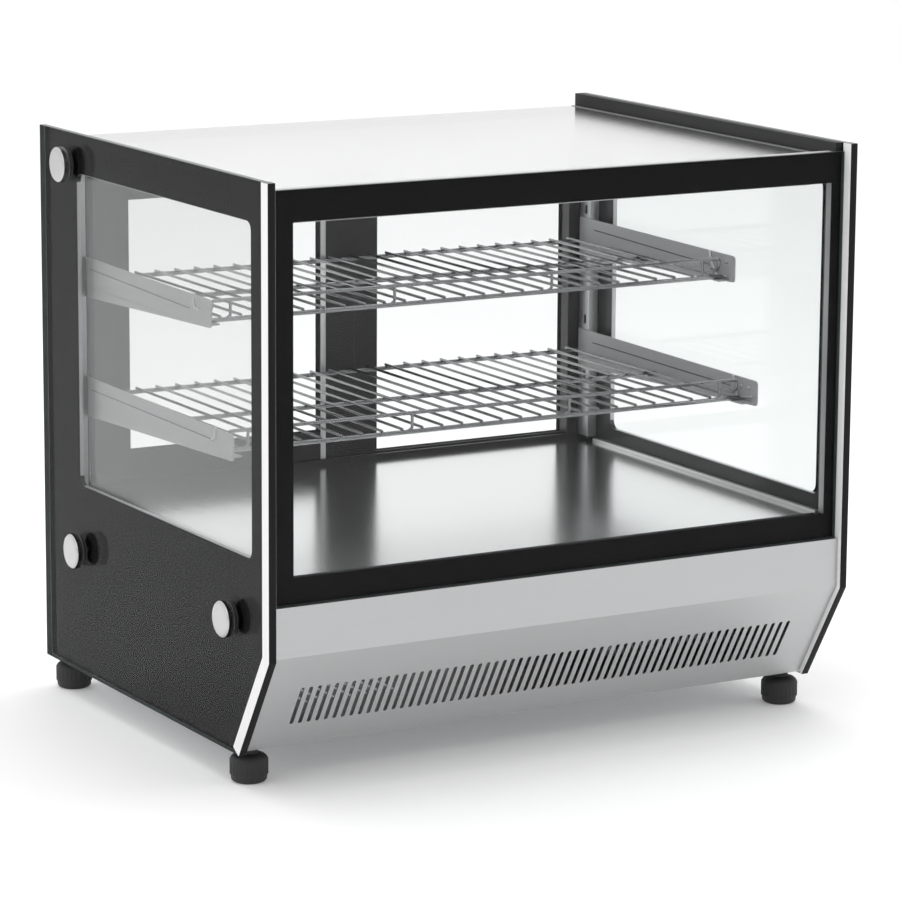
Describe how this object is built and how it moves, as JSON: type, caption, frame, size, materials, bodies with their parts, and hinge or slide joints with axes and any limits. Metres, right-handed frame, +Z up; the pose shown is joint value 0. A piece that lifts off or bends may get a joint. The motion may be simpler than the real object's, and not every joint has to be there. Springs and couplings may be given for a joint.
{
  "type": "bakery display case",
  "caption": "Counter-top glazed bakery display case with insulated glass, sliding rear doors, wire shelves, louvered stainless front and a refrigeration bay in its base.",
  "frame": {"origin": "centre of the footprint, on the floor plane under the feet", "axes": "+X to the right as seen from the front, front glass faces -Y, doors at +Y, +Z up"},
  "size_m": [0.726, 0.545, 0.628],
  "materials": {
    "glass": "clear polished",
    "printed_border": "gloss black enamel behind glass",
    "stainless": "brushed",
    "zinc_sheet": "galvanised",
    "spacer_plastic": "matt black",
    "trim_white": "satin white",
    "cap_steel": "turned",
    "rubber": "matt",
    "frame_black": "semi-gloss black",
    "bare_aluminium": "satin",
    "bracket_grey": "satin grey",
    "wire_grey": "coated wire",
    "lamp_white": "opal",
    "foam_white": "matt",
    "plastic_black": "matt",
    "shell_black": "black lacquer",
    "copper": "bare copper",
    "rocker_red": "gloss",
    "rocker_green": "gloss",
    "button_grey": "satin"
  },
  "bodies": {
    "cabinet": {"base_tray": "zinc_sheet", "front_panel": "stainless", "rear_panel": "zinc_sheet", "side_glass_left": "glass", "side_glass_right": "glass", "side_border_left": "printed_border", "side_border_right": "printed_border", "side_spacer_left": "spacer_plastic", "side_spacer_right": "spacer_plastic", "side_inner_glass_left": "glass", "side_inner_glass_right": "glass", "edge_trim_left": "trim_white", "edge_trim_right": "trim_white", "side_caps": "cap_steel", "cap_washers": "rubber", "front_glass": "glass", "front_border": "printed_border", "front_inner_glass": "glass", "top_glass": "glass", "top_inner_glass": "glass", "glazing_spacers": "spacer_plastic", "rear_posts": "frame_black", "rear_header": "frame_black", "rear_sill": "frame_black", "deck_plate": "stainless", "deck_trim": "stainless", "shelf_uprights": "stainless", "upper_brackets": "bracket_grey", "lower_brackets": "bracket_grey", "lamp_housing": "bare_aluminium", "lamp_tube": "lamp_white", "insulated_well": "foam_white", "evaporator": "bare_aluminium", "evaporator_fan": "plastic_black", "compressor": "shell_black", "compressor_mounts": "rubber", "condenser": "bare_aluminium", "condenser_fan": "plastic_black", "pipes": "copper", "control_panel": "plastic_black", "cord_gland": "rubber"},
    "inner_door": {"inner_door_frame": "frame_black", "inner_door_glass": "glass", "inner_door_pull": "bare_aluminium"},
    "outer_door": {"outer_door_frame": "frame_black", "outer_door_glass": "glass", "outer_door_pull": "bare_aluminium"},
    "upper_shelf": {"upper_shelf": "wire_grey"},
    "lower_shelf": {"lower_shelf": "wire_grey"},
    "evaporator_blade": {"evaporator_blade": "plastic_black"},
    "condenser_blade": {"condenser_blade": "plastic_black"},
    "power_switch": {"power_switch": "rocker_red"},
    "light_switch": {"light_switch": "rocker_green"},
    "set_button": {"set_button": "button_grey"},
    "up_button": {"up_button": "button_grey"},
    "down_button": {"down_button": "button_grey"},
    "foot_front_left": {"foot_front_left": "plastic_black"},
    "foot_front_right": {"foot_front_right": "plastic_black"},
    "foot_rear_left": {"foot_rear_left": "plastic_black"},
    "foot_rear_right": {"foot_rear_right": "plastic_black"}
  },
  "joints": [
    {"name": "inner_door_slide", "type": "slide", "parent": "cabinet", "child": "inner_door", "axis": [1, 0, 0], "range_m": [0, 0.281]},
    {"name": "outer_door_slide", "type": "slide", "parent": "cabinet", "child": "outer_door", "axis": [1, 0, 0], "range_m": [-0.349, 0]},
    {"name": "upper_shelf_lift", "type": "slide", "parent": "cabinet", "child": "upper_shelf", "axis": [0, 0, 1], "range_m": [0, 0.06]},
    {"name": "lower_shelf_lift", "type": "slide", "parent": "cabinet", "child": "lower_shelf", "axis": [0, 0, 1], "range_m": [0, 0.06]},
    {"name": "power_rocker", "type": "hinge", "parent": "cabinet", "child": "power_switch", "pos_m": [-0.264, 0.264, 0.126], "axis": [1, 0, 0], "range_deg": [-14, 0]},
    {"name": "light_rocker", "type": "hinge", "parent": "cabinet", "child": "light_switch", "pos_m": [-0.238, 0.264, 0.126], "axis": [1, 0, 0], "range_deg": [-14, 0]},
    {"name": "set_press", "type": "slide", "parent": "cabinet", "child": "set_button", "axis": [0, -1, 0], "range_m": [0, 0.001], "stiffness_N_per_m": 600},
    {"name": "up_press", "type": "slide", "parent": "cabinet", "child": "up_button", "axis": [0, -1, 0], "range_m": [0, 0.001], "stiffness_N_per_m": 600},
    {"name": "down_press", "type": "slide", "parent": "cabinet", "child": "down_button", "axis": [0, -1, 0], "range_m": [0, 0.001], "stiffness_N_per_m": 600},
    {"name": "evaporator_fan_spin", "type": "hinge", "parent": "cabinet", "child": "evaporator_blade", "pos_m": [-0.11575, -0.08, 0.1855], "axis": [0, 1, 0], "continuous": true},
    {"name": "condenser_fan_spin", "type": "hinge", "parent": "cabinet", "child": "condenser_blade", "pos_m": [0.23, -0.1, 0.124], "axis": [0, 1, 0], "continuous": true},
    {"name": "foot_front_left_turn", "type": "hinge", "parent": "cabinet", "child": "foot_front_left", "pos_m": [-0.328, -0.1825, 0.02], "axis": [0, 0, 1], "range_deg": [-360, 360]},
    {"name": "foot_front_right_turn", "type": "hinge", "parent": "cabinet", "child": "foot_front_right", "pos_m": [0.328, -0.1825, 0.02], "axis": [0, 0, 1], "range_deg": [-360, 360]},
    {"name": "foot_rear_left_turn", "type": "hinge", "parent": "cabinet", "child": "foot_rear_left", "pos_m": [-0.328, 0.2475, 0.02], "axis": [0, 0, 1], "range_deg": [-360, 360]},
    {"name": "foot_rear_right_turn", "type": "hinge", "parent": "cabinet", "child": "foot_rear_right", "pos_m": [0.328, 0.2475, 0.02], "axis": [0, 0, 1], "range_deg": [-360, 360]}
  ]
}
